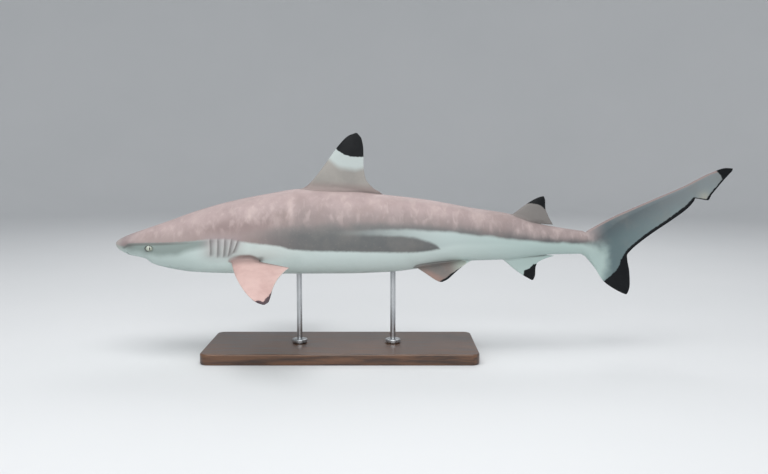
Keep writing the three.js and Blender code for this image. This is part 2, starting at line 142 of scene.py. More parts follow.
def through(stations, blunt=False):
    """A smooth curve through rows [t, value, ...] that doesn't overshoot any of them. A blunt one
    runs against the square root of t, so that it leaves zero square on."""
    rows = np.array(stations, float)
    t = np.sqrt(rows[:, 0]) if blunt else rows[:, 0]
    values = rows[:, 1:]
    secants = np.diff(values, axis=0) / np.diff(t)[:, None]
    before, after = np.vstack([secants[:1], secants]), np.vstack([secants, secants[-1:]])
    total = np.where(before + after == 0, 1, before + after)
    slopes = np.where(before * after > 0, 2 * before * after / total, 0)

    def curve(at):
        at = np.sqrt(at) if blunt else np.asarray(at, float)
        i = np.clip(np.searchsorted(t, at) - 1, 0, len(t) - 2)
        span = (t[i + 1] - t[i])[..., None]
        s = np.clip((at - t[i]) / (t[i + 1] - t[i]), 0, 1)[..., None]
        ends = values[i] * (1 + 2 * s) * (1 - s) ** 2 + values[i + 1] * s * s * (3 - 2 * s)
        bends = slopes[i] * s * (1 - s) ** 2 - slopes[i + 1] * s * s * (1 - s)
        made = ends + span * bends
        return made[..., 0] if values.shape[1] == 1 else made

    return curve


back, belly, half_width, waist, upper_shape, lower_shape = (
    through(rows, blunt=True)
    for rows in (BACK_LINE, BELLY_LINE, HALF_WIDTH, WAIST, UPPER_SHAPE, LOWER_SHAPE)
)
tail_top, tail_bottom = through(TAIL_UPPER_MARGIN), through(TAIL_LOWER_MARGIN)


def posed(p):
    """Bends points of the straight shark into the swimming pose."""
    x, y = p[..., 0], p[..., 1]
    h = np.maximum(1 - x / HEAD_TURN_LENGTH, 0)
    t = np.maximum((x - TAIL_TURN_START) / TAIL_TURN_LENGTH, 0)
    turn = HEAD_TURN * h**2 + TAIL_TURN * t**1.5
    middle_x = (
        x + HEAD_TURN**2 * HEAD_TURN_LENGTH * h**5 / 10 - TAIL_TURN**2 * TAIL_TURN_LENGTH * t**4 / 8
    )
    middle_y = (
        -HEAD_TURN * HEAD_TURN_LENGTH * h**3 / 3 + TAIL_TURN * TAIL_TURN_LENGTH * t**2.5 / 2.5
    )
    return np.stack([middle_x - y * np.sin(turn), middle_y + y * np.cos(turn), p[..., 2]], -1)


def in_frame(p):
    """Straight-shark millimetres to the frame's metres."""
    return (posed(p) + [-BALANCE_POINT, 0, SNOUT_LEVEL]) / 1000


def ramp(low, high, value):
    """Smoothly from 0 to 1 as value goes from low to high, or falling if low is the higher."""
    t = np.clip((value - low) / (high - low), 0, 1)
    return t * t * (3 - 2 * t)


def hump(value, width):
    """1 at zero, falling off smoothly to each side."""
    return np.exp(-((value / width) ** 2))


def between(low, value, high):
    return (value > low) & (value < high)


# ---- the body and tail as one grid

QUARTER = 96  # points from the widest level to the top or the bottom of a section
ARC_SAMPLES = 500
MARGIN_SAMPLES = 6000


def quarter_arc(half, span, exponent, thin):
    """From the widest point of sections to their top or bottom, evenly spaced: [side, rise]."""
    angle = np.linspace(0, math.pi / 2, ARC_SAMPLES)
    power = 2 / exponent[:, None]
    side = np.maximum(half[:, None] * np.cos(angle) ** power, thin[:, None])
    side[:, -1] = 0
    rise = span[:, None] * np.abs(np.sin(angle)) ** power
    steps = np.hypot(np.diff(side, axis=1), np.diff(rise, axis=1))
    length = np.hstack([np.zeros((len(half), 1)), np.cumsum(steps, axis=1)])
    share = np.linspace(0, 1, QUARTER + 1)
    return np.array([
        [np.interp(share * at[-1], at, values) for values in (a, b)]
        for at, a, b in zip(length, side, rise)
    ])


def sections(top, bottom, half, level, upper, lower, thin):
    """Closed sections between top and bottom points [x, z], from the right side round below."""
    chord = np.hypot(*(top - bottom).T)
    under = quarter_arc(half, level * chord, lower, thin)
    over = quarter_arc(half, (1 - level) * chord, upper, thin)
    side = np.hstack([under[:, 0], -under[:, 0, -2::-1], -over[:, 0, 1:], over[:, 0, -2:0:-1]])
    rise = np.hstack([-under[:, 1], -under[:, 1, -2::-1], over[:, 1, 1:], over[:, 1, -2:0:-1]])
    h = level[:, None] + rise / chord[:, None]
    place = bottom[:, None] + (top - bottom)[:, None] * h[..., None]
    return np.stack([place[..., 0], side, place[..., 1]], -1)


def body_stations(from_x=0.15, fine=0.9, fine_end=292, coarse=2.6):
    """Distances aft of the snout tip: close together at the tip, fine over the head and gills."""
    xs = [from_x]
    while xs[-1] < TAIL_ROOT - coarse:
        x = xs[-1]
        step = min(max(0.2 * math.sqrt(x), 0.06), fine)
        xs.append(x + min(max(step, (x - fine_end) * 0.04), coarse))
    return np.array(xs)


def body_sections(x):
    return sections(
        np.stack([x, back(x)], -1), np.stack([x, belly(x)], -1), half_width(x), waist(x),
        upper_shape(x), lower_shape(x), np.zeros_like(x),
    )


def tail_stations(spacing=1.7):
    """Shares of the way out along the tail fin, evenly spaced along its longer margin."""
    u = np.linspace(0, 1, MARGIN_SAMPLES)
    steps = np.maximum(*[np.hypot(*np.diff(f(u), axis=0).T) for f in (tail_top, tail_bottom)])
    length = np.concatenate([[0], np.cumsum(steps)])
    return np.interp(np.linspace(0, length[-1], int(length[-1] / spacing)), length, u)


def tail_sections(u):
    top, bottom = tail_top(u), tail_bottom(u)
    chord = np.hypot(*(top - bottom).T)
    return sections(
        top, bottom, through(TAIL_HALF_WIDTH)(u), 1 - through(TAIL_SPINE_DEPTH)(u) / chord,
        through(TAIL_UPPER_SHAPE)(u), through(TAIL_LOWER_SHAPE)(u),
        THINNEST * np.clip(u / 0.03, 0, 1),
    )


def grid_normals(p):
    """Outward normals of a grid of closed rings."""
    across = np.roll(p, -1, axis=1) - np.roll(p, 1, axis=1)
    n = np.cross(np.gradient(p, axis=0), across)
    n /= np.maximum(np.linalg.norm(n, axis=-1, keepdims=True), 1e-9)
    outward = np.sum(n * (p - p.mean(axis=1, keepdims=True)))
    return n * np.sign(outward)


def ring_quads(rings, around):
    """The quads between closed rings of points, one ring after another."""
    k = np.arange(around)
    first = (np.arange(rings - 1)[:, None] * around + k).ravel()
    second = (np.arange(rings - 1)[:, None] * around + (k + 1) % around).ravel()
    return np.stack([first, second, second + around, first + around], -1).tolist()


def outward_mesh(name, points, faces):
    """A closed mesh with its faces turned outwards."""
    mesh = bpy.data.meshes.new(name)
    mesh.from_pydata(points.tolist(), [], faces)
    work = bmesh.new()
    work.from_mesh(mesh)
    bmesh.ops.recalc_face_normals(work, faces=work.faces)
    work.to_mesh(mesh)
    work.free()
    return mesh


def closed_mesh(name, p, start=None, end=None):
    """A mesh of a grid of closed rings, drawn to a point at each end."""
    start = p[0].mean(axis=0) if start is None else start
    end = p[-1].mean(axis=0) if end is None else end
    rings, around = p.shape[:2]
    first, last = rings * around, (rings - 1) * around
    faces = ring_quads(rings, around)
    faces += [[first, (i + 1) % around, i] for i in range(around)]
    faces += [[first + 1, last + i, last + (i + 1) % around] for i in range(around)]
    return outward_mesh(name, np.vstack([p.reshape(-1, 3), start, end]), faces)


def flat_ended_mesh(name, p):
    """A mesh of a grid of closed rings, with one flat face across each end."""
    rings, around = p.shape[:2]
    ends = [list(range(around))[::-1], list(range((rings - 1) * around, rings * around))]
    return outward_mesh(name, p.reshape(-1, 3), ring_quads(rings, around) + ends)


# ---- relief of the head

# Gill slits, first to fifth: [x at the top, z at the top, x at the foot, z at the foot].
GILL_SLITS = [
    [222, 19, 222, -22], [239, 19.5, 237, -24.5], [254.5, 19.5, 250, -24.5], [269, 19, 260, -23],
    [283, 16, 270, -15],
]


def gill_relief(p):
    """Each slit has a raised flap before it, a sharp drop and a slope back up. Returns the height
    of the surface, how deep in a crease it is and how shaded the hollow behind it is, 0 to 1."""
    height, crease, shade = (np.zeros(p.shape[:-1]) for _ in range(3))
    on_side = ramp(45, 60, np.abs(p[..., 1]))
    for top_x, top_z, foot_x, foot_z in GILL_SLITS:
        t = (p[..., 2] - foot_z) / (top_z - foot_z)
        ahead = p[..., 0] - (foot_x + (top_x - foot_x) * t + 4 * t * (1 - t))
        ends = ramp(-0.04, 0.18, t) * ramp(1.04, 0.82, t) * on_side
        flap = 1.3 * np.exp(np.minimum(ahead, 0) / 6)
        hollow = -3 * np.exp(-np.maximum(ahead, 0) / 3.2)
        height += ends * (flap + (hollow - flap) * ramp(-1.2, 1.4, ahead))
        crease = np.maximum(crease, ends * hump(ahead - 0.9, 1.7))
        shade = np.maximum(shade, ends * ramp(-1, 2, ahead) * ramp(11, 2, ahead))
    return height, crease, shade


def line_distance(q, line):
    """Distance of points q [..., 2] from a line through points, and their side: 1 to its left."""
    best, side = np.full(q.shape[:-1], 1e9), np.ones(q.shape[:-1])
    for a, b in zip(line[:-1], line[1:]):
        a, b = np.array(a, float), np.array(b, float)
        ab = b - a
        t = np.clip(((q - a) @ ab) / (ab @ ab), 0, 1)
        off = q - a - t[..., None] * ab
        d = np.hypot(off[..., 0], off[..., 1])
        cross = ab[0] * (q[..., 1] - a[1]) - ab[1] * (q[..., 0] - a[0])
        side = np.where(d < best, np.sign(cross), side)
        best = np.minimum(best, d)
    return best, side


def mouth_line():
    """The closed mouth's bow seen from below, from its corner to the middle: [x, distance out]."""
    corner, front, half = MOUTH["corner"], MOUTH["front"], MOUTH["half"]
    a, b = np.array([corner, half]), np.array([corner - 40, half])
    c, d = np.array([front, half * 0.62]), np.array([front, 0])
    t = np.linspace(0, 1, 40)[:, None]
    return a * (1 - t) ** 3 + 3 * b * t * (1 - t) ** 2 + 3 * c * t * t * (1 - t) + d * t**3


def mouth_relief(p, n):
    """A groove along the closed mouth with rolled lips, and a short furrow at each corner."""
    q = np.stack([p[..., 0], np.abs(p[..., 1])], -1)
    near = between(50, p[..., 0], 170) & (n[..., 2] < 0)
    below = ramp(-0.1, -0.4, n[..., 2]) * near
    distance, side = line_distance(q, mouth_line())
    inside = distance * side
    groove = hump(distance, 1.5)
    lips = 0.9 * hump(inside - 3.6, 2.2) + 1.1 * hump(inside + 3.4, 2.4)
    x, y = MOUTH["corner"], MOUTH["half"]
    furrow = hump(line_distance(q, [[x - 12, y + 5], [x, y], [x + 7, y + 3]])[0], 1.8)
    jaw = ramp(0, 6, inside) * ramp(168, 140, p[..., 0])
    height = below * (lips - 3.4 * groove - 0.8 * furrow - 0.7 * jaw)
    return height, below * np.maximum(groove, 0.25 * furrow)


def nostril_relief(p, n):
    """A slanting hollow under each side of the snout, with a small flap over its front edge."""
    x = p[..., 0] - NOSTRIL["x"]
    y = np.abs(p[..., 1]) - NOSTRIL["y"]
    c, s = math.cos(NOSTRIL["slant"]), math.sin(NOSTRIL["slant"])
    along, across = (y * c - x * s) / NOSTRIL["length"] * 2, (x * c + y * s) / NOSTRIL["width"] * 2
    below = ramp(0.15, -0.1, n[..., 2]) * (p[..., 0] < 70)
    hollow = below * ramp(1.15, 0.6, np.hypot(along, across))
    flap = below * hump(np.hypot(along - 0.1, (across + 0.75) * 1.3), 0.55)
    rim = below * hump(np.hypot(along, across) - 1.25, 0.3)
    return 1.4 * flap + 0.4 * rim - 3 * hollow * (1 - 0.6 * flap), hollow * (1 - flap)


EYE_OPENING = [8.8, 6.2]  # half length and half height between the lids
EYE_SLOPE = math.atan((half_width(EYE["x"] + 5) - half_width(EYE["x"] - 5)) / 10)


def eye_relief(p):
    """The skin draws in behind the eyeball and stands up round it as two lids."""
    along = (p[..., 0] - EYE["x"]) / math.cos(EYE_SLOPE)
    up = p[..., 2] - EYE["z"] - 0.5
    on_side = np.abs(p[..., 1]) > 30
    r = np.hypot(along / EYE_OPENING[0], up / EYE_OPENING[1])
    socket = on_side * ramp(1.04, 0.9, r)
    lid = on_side * (r > 0.97) * (hump(r - 1.1, 0.13) + 0.35 * hump(r - 1.45, 0.22))
    fold = on_side * hump(r - 1.3, 0.07) * ramp(0.3, -0.6, up / EYE_OPENING[1])
    height = 1.5 * lid - 0.5 * fold - 6 * socket
    return height, on_side * np.maximum(hump(r - 1.0, 0.12), 0.45 * fold)


def tail_pit_relief(p):
    """The short notch across the top of the tail's root."""
    return -2.2 * hump(p[..., 0] - TAIL_ROOT + 1, 3.5) * hump(p[..., 1], 8) * (p[..., 2] > 10)


def tree_of(mesh):
    """A search tree of a mesh's surface."""
    return BVHTree.FromPolygons([v.co for v in mesh.vertices], [f.vertices for f in mesh.polygons])


def make_body():
    """The body and tail with all their relief, as a mesh, and the smooth body as a search tree."""
    grid = np.vstack([body_sections(body_stations()), tail_sections(tail_stations())])
    n = grid_normals(grid)
    tree = tree_of(closed_mesh("plain_body", grid[::4, ::4], start=[0, 0, 0]))
    reliefs = [gill_relief(grid), mouth_relief(grid, n), nostril_relief(grid, n), eye_relief(grid)]
    height = sum(r[0] for r in reliefs) + tail_pit_relief(grid)
    return closed_mesh("body", grid + n * height[..., None], start=[0, 0, 0]), tree


# ---- fins


def fin_grid(fin, rows, columns):
    """Rings [aft, out, across] from a fin's root to its apex, and shares of the chord."""
    v = 1 - (1 - np.linspace(0, 1, rows + 1)) ** 1.4
    front, rear = through(fin["front"])(v), through(fin["rear"])(v)
    half = (fin["half"] - THINNEST) * (1 - v) ** 0.85 + THINNEST
    share = (np.arange(1, columns + 1) / columns) ** 1.5
    s = np.concatenate([[0], share, share[::-1]])
    side = np.concatenate([[0], np.ones(columns), -np.ones(columns)])
    shape = 10 * (0.2969 * np.sqrt(s) - 0.126 * s - 0.3516 * s**2 + 0.2843 * s**3 - 0.1036 * s**4)
    place = front[:, None] + (rear - front)[:, None] * s[None, :, None]
    dip = fin["dip"] * np.sin(math.pi * s ** fin["skew"]) * (1 - v[:, None]) ** 3
    free_edge = ramp(0.3, 0.5, s) * ramp(0.12, 0, v)[:, None]
    thick = half[:, None] * shape * (1 - 0.9 * free_edge)
    thick = np.maximum(thick, np.where(s > 0, THINNEST, 0))
    grid = np.stack([place[..., 0], place[..., 1] - dip, side * thick], -1)
    return grid, np.broadcast_to(s, grid.shape[:2])


def middle_place(grid):
    return np.stack([grid[..., 0], grid[..., 2], grid[..., 1]], -1)


def pair_place(fin, side):
    """Where a paired fin's [aft, out, across] are on the straight shark."""
    x, y, z = fin["root"]
    c, s = math.cos(fin["droop"]), math.sin(fin["droop"])

    def place(grid):
        aft, out, across = np.moveaxis(grid, -1, 0)
        height = z - out * s + across * c + aft * fin["rise"]
        return np.stack([x + aft, side * (y + out * c + across * s), height], -1)

    return place


def pair_local(fin, p):
    """The reverse, for either side: [aft, out, across] of points of the straight shark."""
    x, y, z = fin["root"]
    c, s = math.cos(fin["droop"]), math.sin(fin["droop"])
    aft = p[..., 0] - x
    out_y, up = np.abs(p[..., 1]) - y, p[..., 2] - z - aft * fin["rise"]
    return np.stack([aft, out_y * c - up * s, out_y * s + up * c], -1)


def nearest_on(tree, points):
    """The nearest points of a surface, its normals there, and the signed distances from it."""
    found = [tree.find_nearest(Vector(p))[:2] for p in points]
    at = np.array([f[0] for f in found])
    n = np.array([f[1] for f in found])
    return at, n, np.sum((points - at) * n, axis=-1)


def with_fillet(p, share, tree, radius):
    """Flares a fin's root out onto the body in a round fillet, except at its free rear tip."""
    n = grid_normals(p).reshape(-1, 3)
    points = p.reshape(-1, 3).copy()
    _, up, d = nearest_on(tree, points)
    close = d < radius
    r = 0.6 + (radius - 0.6) * ramp(0.9, 0.35, share.ravel()[close])
    depth = np.clip(d[close] + 0.5, 0, r)
    out = r - np.sqrt(np.maximum(2 * r * depth - depth**2, 0))
    along = n[close] - up[close] * np.sum(n[close] * up[close], axis=-1, keepdims=True)
    along /= np.maximum(np.linalg.norm(along, axis=-1, keepdims=True), 0.2)
    moved = points[close] + along * out[:, None]
    at, up, _ = nearest_on(tree, moved)
    points[close] = np.where(out[:, None] > 0, at + up * d[close][:, None], points[close])
    return points.reshape(p.shape)


def make_fins(tree):
    plan = [
        (FIRST_DORSAL, middle_place, 120, 80),
        (SECOND_DORSAL, middle_place, 60, 48),
        (ANAL, middle_place, 60, 48),
    ]
    for side in (-1, 1):
        plan.append((PECTORAL, pair_place(PECTORAL, side), 220, 100))
        plan.append((PELVIC, pair_place(PELVIC, side), 90, 72))
    meshes = []
    for i, (fin, place, rows, columns) in enumerate(plan):
        grid, share = fin_grid(fin, rows, columns)
        meshes.append(closed_mesh(f"fin_{i}", with_fillet(place(grid), share, tree, fin["fillet"])))
    return meshes


# ---- one skin


def joined(meshes, name):
    work = bmesh.new()
    for mesh in meshes:
        work.from_mesh(mesh)
    made = bpy.data.meshes.new(name)
    work.to_mesh(made)
    work.free()
    return made


def place_object(name, data):
    made = bpy.data.objects.new(name, data)
    bpy.context.scene.collection.objects.link(made)
    return made


def united(body_mesh, fin_mesh):
    """One closed mesh of the body and the fins."""
    body, fins = place_object("body", body_mesh), place_object("fins", fin_mesh)
    union = body.modifiers.new("union", "BOOLEAN")
    union.operation, union.solver, union.object = "UNION", "MANIFOLD", fins
    seen = body.evaluated_get(bpy.context.evaluated_depsgraph_get())
    mesh = bpy.data.meshes.new_from_object(seen)
    bpy.data.objects.remove(body)
    bpy.data.objects.remove(fins)
    return mesh


def coordinates(mesh):
    flat = np.empty(len(mesh.vertices) * 3)
    mesh.vertices.foreach_get("co", flat)
    return flat.reshape(-1, 3)


def relaxed(mesh, values, weight, rounds):
    """Values at a mesh's vertices [n, k], drawn towards the mean of their neighbours'."""
    edges = np.empty(len(mesh.edges) * 2, int)
    mesh.edges.foreach_get("vertices", edges)
    a, b = edges.reshape(-1, 2).T
    degree = np.bincount(a, minlength=len(values)) + np.bincount(b, minlength=len(values))
    for _ in range(rounds):
        mean = np.stack([
            np.bincount(a, v[b], len(v)) + np.bincount(b, v[a], len(v)) for v in values.T
        ], -1) / degree[:, None]
        values = values + (mean - values) * (0.6 * weight[:, None])
    return values


# A point is on the seam if it is this close to both the fins' and the plain body's surface.
ON_FIN, ON_BODY = 0.05, 0.6
FAR = 100.0


def smooth_seams(mesh, fin_mesh, tree, reach=6, rounds=20):
    """Relaxes the narrow band where the fins meet the body. Returns the points, and how far each is
    from where they meet, in millimetres."""
    p = coordinates(mesh)
    near = np.flatnonzero(near_fins(p))
    seam = near
    for surface, close in ((tree_of(fin_mesh), ON_FIN), (tree, ON_BODY)):
        seam = [i for i in seam if surface.find_nearest(Vector(p[i]), close)[0] is not None]
    seam_tree = KDTree(len(seam))
    for i in seam:
        seam_tree.insert(Vector(p[i]), i)
    seam_tree.balance()
    from_seam = np.full(len(p), FAR)
    for i in near:
        from_seam[i] = seam_tree.find(Vector(p[i]))[2]
    p = relaxed(mesh, p, np.maximum(1 - from_seam / reach, 0), rounds)
    from_seam = relaxed(mesh, from_seam[:, None], by_seam(from_seam), 10)[:, 0]
    mesh.vertices.foreach_set("co", p.ravel())
    return p, from_seam


def by_seam(from_seam):
    """1 near where a fin meets the body, fading out round it."""
    return ramp(18, 12, from_seam)


def near_fins(p):
    """The parts of the straight shark where a fin meets the body."""
    x, y, z = p.T
    dorsal = between(395, x, 600) & (z > 95)
    second = between(865, x, 985) & (z > 30)
    anal = between(840, x, 985) & (z < -20)
    pectoral = between(255, x, 400) & (np.abs(y) > 55) & (z < 0)
    pelvic = between(650, x, 775) & (z < -30)
    return dorsal | second | anal | pectoral | pelvic


# ---- where the markings are

# A thin dark line along the head, from the snout, and the end of the back's edge: [x, z].
HEAD_LINE = [[0, -2], [25, -4], [38, 2], [70, 5], [112, 6.7], [161, 9.7], [221, 15.5], [255, 17]]
AFT_LINE = [[995, 0.7], [1049, -1.5], [1072, -5.5], [1085, -11]]
# The lower edge of the dark flank.
LOWER_EDGE = HEAD_LINE + [
    [288, 12.5], [330, 7.2], [373, 1.9], [396, -4.8], [445, -8.4], [520, -10.4], [655, -13.7],
    [692, -11.1], [715, -6.9], [760, 0], [1049, 0],
]
# The top of the dark tongue that runs aft along the flank, and the edge of the back above it.
TONGUE_TOP = [
    [480, 27], [558, 24.3], [592, 22.7], [627, 21.2], [661, 18.2], [691, 9], [706, 2.1],
    [715, -6.9], [730, -30], [760, -90], [1400, -200],
]
BACK_EDGE = HEAD_LINE + [
    [288, 17], [330, 24], [380, 30], [450, 33], [511, 34.4], [578, 37.4], [618, 36.9],
    [667, 35.1], [717, 31], [758, 27.4], [842, 16.2], [946, 4.6],
] + AFT_LINE
# The pale front of the tail fin: it ends in the lower lobe, [x, z].
TAIL_FRONT = [[900, 9]] + AFT_LINE + [
    [1093, -20], [1097, -32], [1099, -52], [1097, -80], [1088, -130], [900, -130],
]
# The grey-green zone along the head, under the thin line.
CHEEK_FOOT = [
    [20, -7], [41, -12], [65, -14.5], [88, -18], [111, -20.2], [145, -18.4], [168, -10.2],
    [190, -3.6], [214, 1], [240, 17],
]

# Lower edges of the black caps and of the first dorsal's pale band: [x, z].
DORSAL_CAP = [[470, 220], [484, 213], [498, 202], [512, 194.5], [530, 191.2], [575, 191.5]]
DORSAL_BAND = [
    [455, 192], [472, 187], [484, 177], [497, 168], [512, 164.5], [530, 162.5], [553, 169],
    [575, 178],
]
SECOND_CAP = [[895, 91], [918, 88.5], [932, 87], [944, 83], [956, 74.5], [975, 64]]

# Other black markings as outlines [x, z].
ANAL_CAP = [
    [906, -100], [908.7, -77.5], [909.2, -63.5], [914, -60.5], [921, -57.5], [927, -53],
    [930, -48.5], [950, -47], [955, -100],
]
TAIL_WEDGE = [
    [1080, -100], [1090, -92], [1103, -81], [1112, -73], [1121, -64], [1128, -52.5], [1130, -41],
    [1134, -34.5], [1141, -24], [1150, -15], [1175, -10], [1180, -140], [1070, -140],
]
TAIL_TIP = [
    [1344, 180], [1349.5, 161], [1353, 156.5], [1360, 151], [1365, 142], [1385, 130], [1420, 150],
    [1410, 190],
]
TAIL_NOTCH = [1324, 99]
# A black marking under a pectoral fin's tip, as [aft, out]. Its upper side has only a dark edge.
PECTORAL_TIP = [[130, 150], [100, 172], [78, 192], [60, 205], [60, 245], [130, 245]]

OUTSIDE = -20.0  # the depth in a marking of what is well outside it


def inside_outline(q, outline):
    """How far inside a closed outline points q [..., 2] are: negative outside it."""
    closed = outline + outline[:1]
    distance, _ = line_distance(q, closed)
    inside = np.zeros(q.shape[:-1], bool)
    for (ax, ay), (bx, by) in zip(closed[:-1], closed[1:]):
        if ay == by:
            continue
        crosses = (q[..., 1] > ay) != (q[..., 1] > by)
        at = ax + (q[..., 1] - ay) * (bx - ax) / (by - ay)
        inside ^= crosses & (q[..., 0] < at)
    return np.where(inside, distance, -distance)


def places(rows):
    """The points of rows [share, ...] along a fin's edge."""
    return [row[1:] for row in rows]


def ink_depth(p, off_body):
    """How far inside a black marking each point of the skin is, in millimetres."""
    x, y, z = p.T
    xz = p[:, [0, 2]]
    ink = np.full(len(p), OUTSIDE)

    def mark(where, depth):
        ink[where] = np.maximum(ink[where], depth)

    dorsal = between(440, x, 600) & (z > 150)
    mark(dorsal, (z - through(DORSAL_CAP)(x))[dorsal])
    second = between(880, x, 985) & (z > 60)
    mark(second, 0.8 * (z - through(SECOND_CAP)(x))[second])
    anal = between(880, x, 960) & (z < -38)
    mark(anal, inside_outline(xz[anal], ANAL_CAP))

    tail = x > TAIL_ROOT
    mark(tail, inside_outline(xz[tail], TAIL_WEDGE))
    mark(tail, inside_outline(xz[tail], TAIL_TIP))
    for start, end, width in ((0.37, 0.845, 7.6), (0.845, 0.875, 2.2), (0.875, 1, 4.6)):
        margin = [row for row in TAIL_LOWER_MARGIN if start <= row[0] <= end]
        mark(tail, width - line_distance(xz[tail], places(margin))[0])

    pectoral = (np.abs(y) > 190) & (x < 420)
    local = pair_local(PECTORAL, p[pectoral])
    edge = places(PECTORAL["rear"][3:] + PECTORAL["front"][:-3:-1])
    upper = 9 * ramp(160, 212, local[:, 1]) - 1 - line_distance(local[:, :2], edge)[0]
    lower = inside_outline(local[:, :2], PECTORAL_TIP)
    mark(pectoral, np.where(local[:, 2] > 0, 0.6 * upper, lower))

    pelvic = between(640, x, 800) & (off_body > 1.5) & (z < -40)
    local = pair_local(PELVIC, p[pelvic])
    width = 6 * ramp(18, 62, local[:, 1]) - 0.5
    mark(pelvic, width - line_distance(local[:, :2], places(PELVIC["rear"]))[0])
    return ink


def skin_masks(mesh, p, tree, from_seam):
    """What the skin's material reads at each point, by name."""
    x, y, z = p.T
    xz = p[:, [0, 2]]
    off_body = np.zeros(len(p))
    around = near_fins(p) | ((np.abs(y) > 90) & (x < 420))
    off_body[around] = nearest_on(tree, p[around])[2]
    off_body = relaxed(mesh, off_body[:, None], by_seam(from_seam), 14)[:, 0]
    edge, back_edge = through(LOWER_EDGE)(x), through(BACK_EDGE)(x)
    crest = np.where(x < TAIL_ROOT, back(np.minimum(x, TAIL_ROOT)), TAIL_ROOT_TOP)
    stripe = np.minimum(back_edge - z, z - through(TONGUE_TOP)(x))
    spread = 1 + 3.5 * ramp(1030, 1090, x)
    stripe = np.where(x < 1000, stripe, inside_outline(xz, TAIL_FRONT) / spread)
    down = np.broadcast_to([0, 0, -1], p.shape)
    underside = (z < waist_level(x)) & (x < TAIL_ROOT)
    flap, gill_crease, gill_shade = gill_relief(p)

    fin = ramp(0, 2.5, off_body)
    on_pectoral, on_pelvic = pair_local(PECTORAL, p), pair_local(PELVIC, p)
    reach = 5 + 9 * ramp(75, 35, on_pectoral[:, 0])
    by_pectoral = between(250, x, 420) & (np.abs(y) > 60)
    pectoral = by_pectoral * hump(np.maximum(on_pectoral[:, 2] - reach, 0), 4)
    pelvic = (between(640, x, 800) & (z < -20)) * 1.0
    over = ramp(-5, 2, on_pectoral[:, 2])
    under = pectoral * (on_pectoral[:, 2] < 0) + pelvic * (on_pelvic[:, 2] < 0)
    under = relaxed(mesh, under[:, None], (pectoral + pelvic > 0) * 1.0, 5)[:, 0]
    root = ramp(8, 2, from_seam)
    foot = from_seam + 6 * ramp(300, 345, x) + 3 * ramp(295, 268, x)
    # A painted shadow on the body just above the pectoral's inner margin.
    s = np.linspace(0.4, 1, 12)
    rear_aft, rear_out = PECTORAL["rear"][0][1:]
    dip = PECTORAL["dip"] * np.sin(math.pi * s ** PECTORAL["skew"])
    inner = np.stack([rear_aft * s, rear_out * s - dip], -1)
    inner_margin_shadow = hump(line_distance(on_pectoral[:, :2], inner)[0], 3)
    inner_margin_shadow *= by_pectoral * hump(np.maximum(on_pectoral[:, 2] - 9, 0), 4)
    aft, out, across = on_pelvic.T
    # Painted shade on the body above the pelvic fin's root.
    shade_by_pelvic = 0.7 * ramp(-2, 12, aft) * ramp(105, 75, aft)
    shade_by_pelvic *= hump(out - 2, 14) * hump(np.maximum(across - 4, 0), 9)
    from_front = line_distance(on_pelvic[:, :2], places(PELVIC["front"]))[0]

    aft_share = np.zeros(len(p))
    for start, end in ((430, 570), (885, 950), (262, 370), (690, 770)):
        here = between(start - 30, x, end + 40)
        aft_share[here] = ramp(start, end, x[here])
    aft_share *= 1 - ramp(318, 338, x) * (np.abs(y) > 60) - 0.5 * pelvic
    return {
        "below": np.where(x < 740, edge - z, OUTSIDE),
        "low": ramp(20, 75, edge - z),
        "side": ramp(4, -8, edge - z),
        "stripe": stripe,
        "stripe_share": ramp(470, 740, x),
        "head": ramp(240, 150, x),
        "neck": ramp(130, 250, x) * ramp(520, 380, x),
        "flank": ramp(255, 470, x),
        "aft": ramp(640, 980, x),
        "cheek": np.where(x < 240, z - through(CHEEK_FOOT)(x), OUTSIDE),
        "line_share": ramp(12, 30, x) * ramp(225, 110, x),
        "height": np.clip((z - back_edge) / np.maximum(crest - back_edge, 10), -0.5, 1.5),
        "ink": ink_depth(p, off_body),
        "band": np.where(between(440, x, 600), z - through(DORSAL_BAND)(x), OUTSIDE),
        "off_body": np.clip(off_body, 0, 60),
        "dorsal": np.maximum(ramp(0.2, 3, off_body), 0.8 * root) * (z > 30),
        "pectoral": np.maximum(ramp(0.3, 2.5, off_body), over * ramp(9.5, 1.5, foot))
        * pectoral * (1 - ramp(0.5, 0.95, under)),
        # Painted shadow on the body round the pectoral's foot.
        "pectoral_foot_shadow": ramp(12, 4, foot) * ramp(6, 1, off_body) * pectoral * over
        * ramp(255, 305, x),
        # The pelvic fin's colour, also carried onto the body at its root and above it as painted
        # shade.
        "pelvic": np.maximum(np.maximum(fin, 0.8 * root), shade_by_pelvic * (off_body < 5)) * pelvic,
        "pelvic_front": ramp(22, 3, from_front) * ramp(15, 45, out) * pelvic,
        "pelvic_rear": ramp(70, 108, aft) * pelvic,
        "beneath": ramp(0.5, 5, off_body) * under,
        "tail": ramp(TAIL_ROOT - 15, TAIL_ROOT + 50, x),
        "tail_share": ramp(TAIL_ROOT, TAIL_UPPER_MARGIN[-1][1], x),
        "notch": hump(np.hypot(x - TAIL_NOTCH[0], z - TAIL_NOTCH[1]), 13),
        "from_top": line_distance(xz, places(TAIL_UPPER_MARGIN))[0],
        "snout": ramp(26, 4, x),
        "muzzle": ramp(75, 10, x),
        "smudge": hump(np.hypot((x - 38) / 2.2, z), 6) * (x < 70),
        "gills": gill_zone(p),
        "gill_crease": gill_crease,
        "gill_shade": gill_shade,
        "gill_flap_highlight": np.clip(flap / 1.5, 0, 1),
        "mouth_crease": mouth_relief(p, down)[1] * underside,
        "nostril_crease": nostril_relief(p, down)[1] * underside,
        "eye_crease": eye_relief(p)[1],
        # Painted shadow along where the fins meet the body, stronger aft, and above the pectoral's
        # inner margin.
        "seam": np.maximum(ramp(5, 0, from_seam) * aft_share, 0.75 * inner_margin_shadow),
    }


